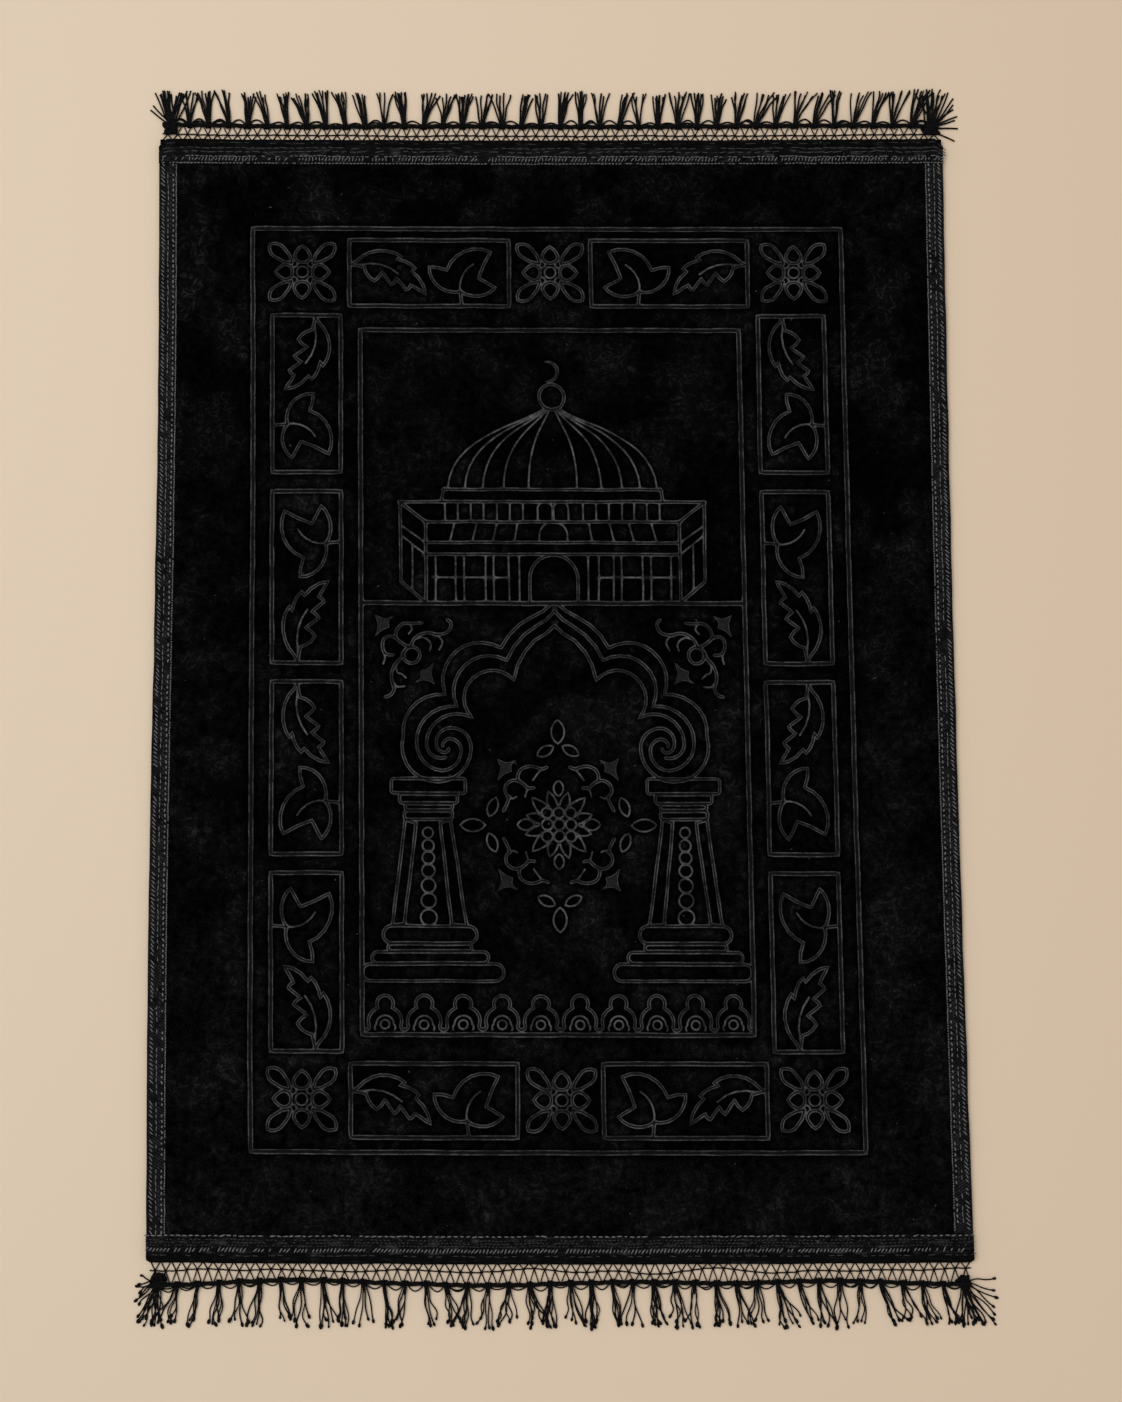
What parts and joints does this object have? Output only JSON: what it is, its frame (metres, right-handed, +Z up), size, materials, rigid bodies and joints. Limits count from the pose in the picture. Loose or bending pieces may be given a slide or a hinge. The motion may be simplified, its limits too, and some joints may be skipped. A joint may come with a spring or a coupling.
{
  "type": "prayer rug",
  "caption": "Flat velvet prayer rug with a pressed niche pattern, taped edges and a knotted net fringe at both ends.",
  "frame": {"origin": "middle of the rug's plan box, fringe included, on the surface that it lies on", "axes": "+Y along the length towards the head, the end that the arch points to; +X to the right as seen from the foot; +Z up through the pile"},
  "size_m": [0.8436, 1.2382, 0.007],
  "materials": {
    "velvet": "near-black short velvet pile, pressed pattern lines slightly paler",
    "side_tape": "charcoal twill tape with a sewn inner edge",
    "end_tape": "charcoal ribbed tape, sewn, with a rolled outer edge",
    "fringe_yarn": "matt black twisted yarn, knotted at the ends"
  },
  "bodies": {
    "root": {"velvet_mat": "velvet", "side_binding_left": "side_tape", "side_binding_right": "side_tape", "end_binding_head": "end_tape", "end_binding_foot": "end_tape", "fringe_head": "fringe_yarn", "fringe_foot": "fringe_yarn"}
  },
  "joints": []
}
